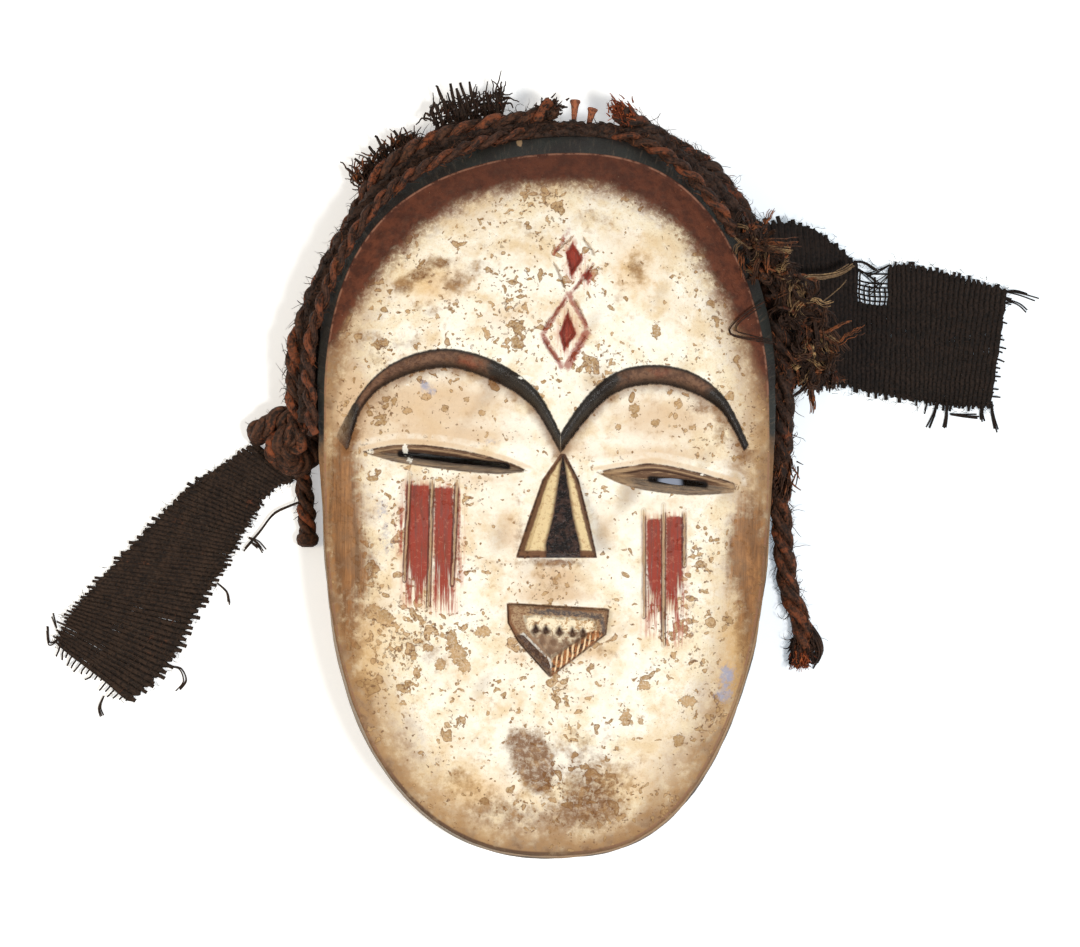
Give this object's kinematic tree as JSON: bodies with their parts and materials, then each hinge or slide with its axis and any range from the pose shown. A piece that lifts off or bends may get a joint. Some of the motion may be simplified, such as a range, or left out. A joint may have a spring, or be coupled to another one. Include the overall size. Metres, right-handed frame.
{
  "type": "vuvi mask",
  "caption": "Carved wooden face mask with white kaolin, sunk brows and narrow eyes, its hollow back down, with twisted ropes and cloth strips round it.",
  "frame": {"origin": "middle of the footprint of the mask with its ropes and cloth, on the surface the mask lies on", "axes": "+X across the face to its left-hand side, +Y to the crown, +Z out of the face"},
  "size_m": [0.4206, 0.3374, 0.0657],
  "materials": {
    "kaolin_wood": "chalky white kaolin over carved wood, with red and brown pigment",
    "dark_rope": "dark twisted plant fibre",
    "brown_rope": "thin twisted plant fibre",
    "loose_fibre": "loose plant fibre",
    "dark_cloth": "coarse dark open weave",
    "rusty_iron": "rusty wrought nails"
  },
  "bodies": {
    "root": {"wooden_mask": "kaolin_wood", "thick_rope_left": "dark_rope", "thick_rope_right": "dark_rope", "rope_free_end": "dark_rope", "thin_rope": "brown_rope", "fibre_tuft": "loose_fibre", "cloth_strip_left": "dark_cloth", "cloth_strip_right": "dark_cloth", "cloth_scrap_upright": "dark_cloth", "cloth_scrap_frayed": "dark_cloth", "nail_1": "rusty_iron", "nail_2": "rusty_iron"}
  },
  "joints": []
}
